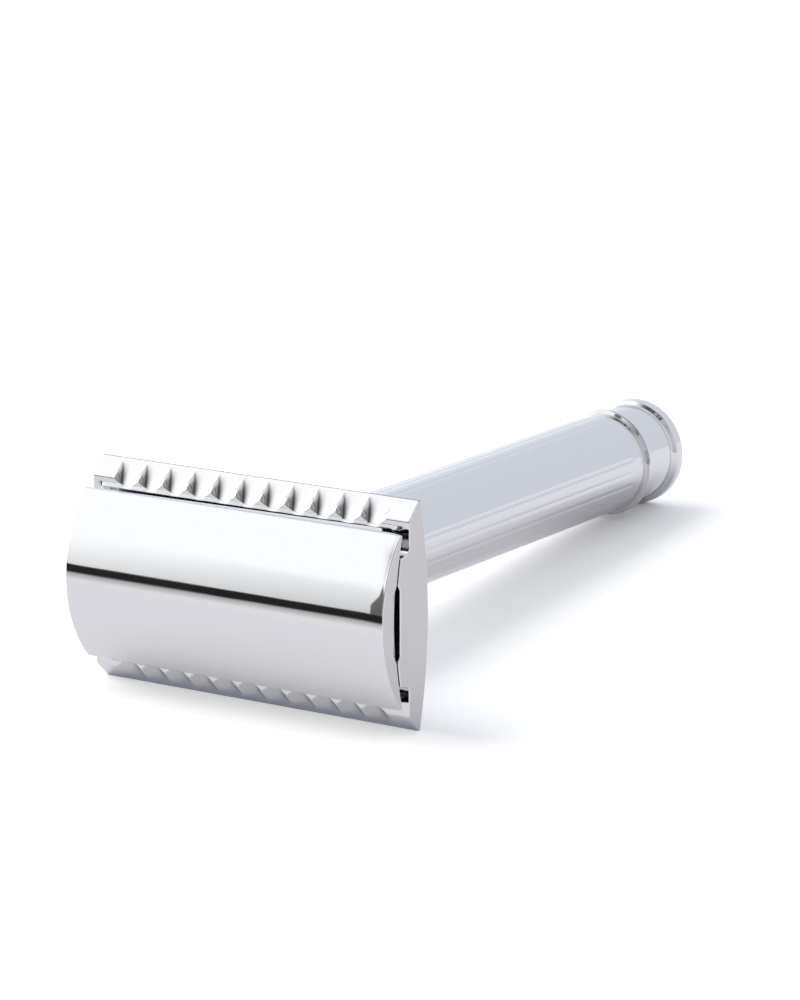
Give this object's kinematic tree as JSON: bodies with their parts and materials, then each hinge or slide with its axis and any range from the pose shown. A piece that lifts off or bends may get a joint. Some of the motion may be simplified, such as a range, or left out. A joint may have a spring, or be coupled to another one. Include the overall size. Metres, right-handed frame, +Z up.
{
  "type": "safety razor",
  "caption": "Three-piece double-edge safety razor with a curved cap, scalloped safety bars, a clamped blade and a lined metal handle, lying on its lower bar and knob.",
  "frame": {"origin": "on the floor that the razor lies on, at the middle of its footprint", "axes": "+Z up; +X along the head, parallel to the blade's edges; the cap faces -Y and the handle runs towards +Y, falling 4.2 degrees from the head to the knob"},
  "size_m": [0.0434, 0.0952, 0.0264],
  "materials": {
    "chrome_plate": "polished chrome plate on brass",
    "plated_steel": "nickel-plated steel",
    "blade_steel": "ground and polished stainless steel",
    "zinc_steel": "zinc-plated steel",
    "seal_rubber": "matt black nitrile rubber"
  },
  "bodies": {
    "handle": {"neck_collar": "chrome_plate", "front_seal": "seal_rubber", "front_ring": "chrome_plate", "grip_tube": "chrome_plate", "rear_ring": "chrome_plate", "rear_seal": "seal_rubber", "end_knob": "chrome_plate", "tie_rod": "zinc_steel", "tie_washer": "zinc_steel", "tie_nut": "zinc_steel", "end_disc": "chrome_plate"},
    "plate": {"base_plate": "chrome_plate"},
    "cap": {"cap": "chrome_plate", "cap_stud": "plated_steel", "locating_post_left": "chrome_plate", "locating_post_right": "chrome_plate"},
    "blade": {"blade": "blade_steel"}
  },
  "joints": [
    {"name": "head_turn", "type": "hinge", "parent": "handle", "child": "plate", "pos_m": [0, -0.03762, 0.01305], "axis": [0, -0.9973, 0.0737], "range_deg": [0, 2880]},
    {"name": "cap_lift", "type": "slide", "parent": "plate", "child": "cap", "axis": [0, -0.9973, 0.0737], "range_m": [0, 0.0064]},
    {"name": "blade_lift", "type": "slide", "parent": "plate", "child": "blade", "axis": [0, -0.9973, 0.0737], "range_m": [0, 0.0032]}
  ],
  "couplings": [
    {"joint": "cap_lift", "follows": "head_turn", "m_per_rad": 0.00012732},
    {"joint": "blade_lift", "follows": "head_turn", "m_per_rad": 0.000063662}
  ]
}
